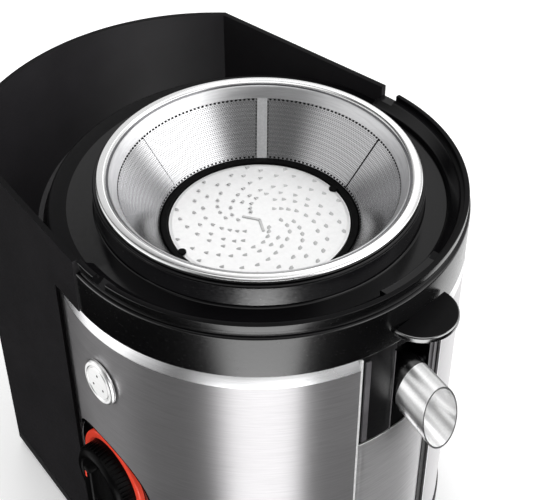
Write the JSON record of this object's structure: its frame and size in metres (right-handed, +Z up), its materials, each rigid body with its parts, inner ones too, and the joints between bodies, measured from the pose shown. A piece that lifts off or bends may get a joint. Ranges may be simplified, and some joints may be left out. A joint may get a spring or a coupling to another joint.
{
  "type": "centrifugal juicer",
  "caption": "Centrifugal juicer with its lid off: steel-wrapped motor base, lift-off juice bowl, spinning filter basket, tilting spout and slide-off pulp container.",
  "frame": {"origin": "centre of the whole footprint at table level; the motor axis stands 19.9 mm along +X from it", "axes": "+Z up along the motor axis, +X the way the spout points, -Y the front with the switch, -X the way the pulp container slides off"},
  "size_m": [0.3003, 0.241, 0.25],
  "materials": {
    "rubber_feet": "matt soft rubber",
    "black_plastic": "fine moulded texture",
    "black_gloss": "high gloss moulding",
    "brushed_steel": "brushed round the body",
    "polished_steel": "polished",
    "perforated_steel": "fine photo-etched holes",
    "satin_steel": "satin, with raised teeth",
    "red_trim": "glossy",
    "rubber": "matt",
    "zinc": "zinc plated",
    "aluminium": "die cast",
    "laminated_iron": "stacked laminations",
    "copper": "lacquered copper wire",
    "carbon": "pressed carbon",
    "circuit_board": "solder mask"
  },
  "bodies": {
    "base": {"foot_1": "rubber_feet", "foot_2": "rubber_feet", "foot_3": "rubber_feet", "foot_4": "rubber_feet", "base_plate": "black_plastic", "screw_1": "zinc", "screw_2": "zinc", "screw_3": "zinc", "screw_4": "zinc", "plinth_ring": "black_gloss", "steel_shell": "brushed_steel", "front_panel": "brushed_steel", "chassis": "black_plastic", "niche_liner": "black_plastic", "top_deck": "black_plastic", "switch_bezel": "black_gloss", "red_ring": "red_trim", "switch_body": "black_plastic", "badge": "polished_steel", "motor_stator": "laminated_iron", "coil_upper": "copper", "coil_lower": "copper", "upper_bracket": "aluminium", "lower_bracket": "aluminium", "upper_bearing": "zinc", "lower_bearing": "zinc", "damper_1": "rubber", "damper_2": "rubber", "damper_3": "rubber", "shaft_seal": "rubber", "brush_left": "carbon", "brush_right": "carbon", "cord_gland": "rubber", "control_board": "circuit_board"},
    "rotor": {"rotor_shaft": "zinc", "rotor_core": "laminated_iron", "commutator": "copper", "cooling_fan": "black_plastic", "drive_coupling": "zinc"},
    "basket": {"filter_cone": "perforated_steel", "basket_rim": "polished_steel", "basket_hub": "black_plastic", "grater_disc": "satin_steel"},
    "bowl": {"juice_bowl": "black_gloss", "centre_tube": "black_gloss"},
    "spout": {"spout_socket": "black_gloss", "spout_tube": "polished_steel"},
    "container": {"pulp_container": "black_gloss"},
    "switch_knob": {"knob": "black_gloss", "switch_spindle": "zinc"}
  },
  "joints": [
    {"name": "rotor_spin", "type": "hinge", "parent": "base", "child": "rotor", "pos_m": [0.0199, 0, 0.12], "axis": [0, 0, 1], "continuous": true},
    {"name": "basket_lift", "type": "slide", "parent": "rotor", "child": "basket", "axis": [0, 0, 1], "range_m": [0, 0.22]},
    {"name": "bowl_lift", "type": "slide", "parent": "base", "child": "bowl", "axis": [0, 0, 1], "range_m": [0, 0.11]},
    {"name": "spout_tilt", "type": "hinge", "parent": "bowl", "child": "spout", "pos_m": [0.11976, 0.00523, 0.173], "axis": [0.0523, -0.9986, 0], "range_deg": [0, 30]},
    {"name": "container_slide", "type": "slide", "parent": "base", "child": "container", "axis": [-1, 0, 0], "range_m": [0, 0.15]},
    {"name": "switch_turn", "type": "hinge", "parent": "base", "child": "switch_knob", "pos_m": [0.01292, -0.09976, 0.0885], "axis": [-0.0698, -0.9976, 0], "range_deg": [-90, 0]}
  ],
  "couplings": [
    {"joint": "bowl_lift", "follows": "basket_lift", "ratio": 0.5}
  ]
}
